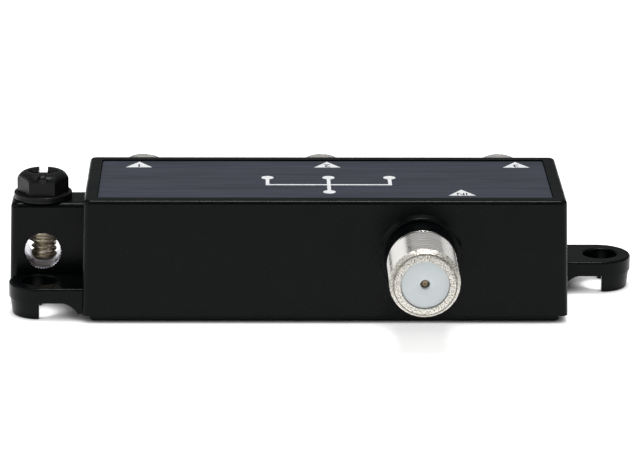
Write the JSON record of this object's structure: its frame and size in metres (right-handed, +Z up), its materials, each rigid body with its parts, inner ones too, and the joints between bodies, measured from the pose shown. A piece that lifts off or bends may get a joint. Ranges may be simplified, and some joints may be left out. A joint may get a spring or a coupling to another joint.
{
  "type": "coaxial splitter",
  "caption": "Low cast-metal signal splitter with threaded coaxial ports front and back, two screw ears and a ground block with a clamp screw.",
  "frame": {"origin": "middle of the box in plan, on the surface that the feet and back cover stand on", "axes": "+X along the box towards the ear away from the ground block, +Y out of the output ports, +Z up through the label; the input port points along -Y"},
  "size_m": [0.0863, 0.05, 0.0182],
  "materials": {
    "black_coat": "satin black baked coat with a fine texture",
    "label_foil": "brushed slate-blue printed foil, low gloss",
    "black_screw": "satin black on steel, bare thread",
    "nickel_plate": "bright nickel plate",
    "pale_insulator": "pale ice-white moulded plastic",
    "spring_bronze": "bare spring bronze",
    "board_laminate": "green lacquered laminate",
    "ferrite": "dark grey fired ferrite",
    "copper_wire": "enamelled copper",
    "capacitor_ceramic": "tan fired ceramic",
    "resistor_ceramic": "black glazed film on ceramic",
    "diode_plastic": "black moulded plastic",
    "solder": "bright solder"
  },
  "bodies": {
    "splitter": {"housing": "black_coat", "back_cover": "black_coat", "label_plate": "label_foil", "input_barrel": "nickel_plate", "input_front_insulator": "pale_insulator", "input_rear_insulator": "pale_insulator", "input_contact": "spring_bronze", "output_1_barrel": "nickel_plate", "output_1_front_insulator": "pale_insulator", "output_1_rear_insulator": "pale_insulator", "output_1_contact": "spring_bronze", "output_2_barrel": "nickel_plate", "output_2_front_insulator": "pale_insulator", "output_2_rear_insulator": "pale_insulator", "output_2_contact": "spring_bronze", "output_3_barrel": "nickel_plate", "output_3_front_insulator": "pale_insulator", "output_3_rear_insulator": "pale_insulator", "output_3_contact": "spring_bronze", "circuit_board": "board_laminate", "input_transformer_core": "ferrite", "input_transformer_winding": "copper_wire", "first_splitter_core": "ferrite", "first_splitter_winding": "copper_wire", "second_transformer_core": "ferrite", "second_transformer_winding": "copper_wire", "second_splitter_core": "ferrite", "second_splitter_winding": "copper_wire", "choke_rods": "ferrite", "choke_windings": "copper_wire", "blocking_capacitors": "capacitor_ceramic", "isolation_resistors": "resistor_ceramic", "steering_diodes": "diode_plastic", "ground_solder": "solder", "port_solder": "solder"},
    "washer": {"ground_screw_washer": "black_screw"},
    "screw": {"ground_screw": "black_screw"}
  },
  "joints": [
    {"name": "ground_screw_lift", "type": "slide", "parent": "splitter", "child": "washer", "axis": [0, 0, 1], "range_m": [0, 0.005]},
    {"name": "ground_screw_turn", "type": "hinge", "parent": "washer", "child": "screw", "pos_m": [-0.03865, 0, 0.0148], "axis": [0, 0, 1], "range_deg": [0, 2268]}
  ],
  "couplings": [
    {"joint": "ground_screw_turn", "follows": "ground_screw_lift", "rad_per_m": 7915.8}
  ]
}
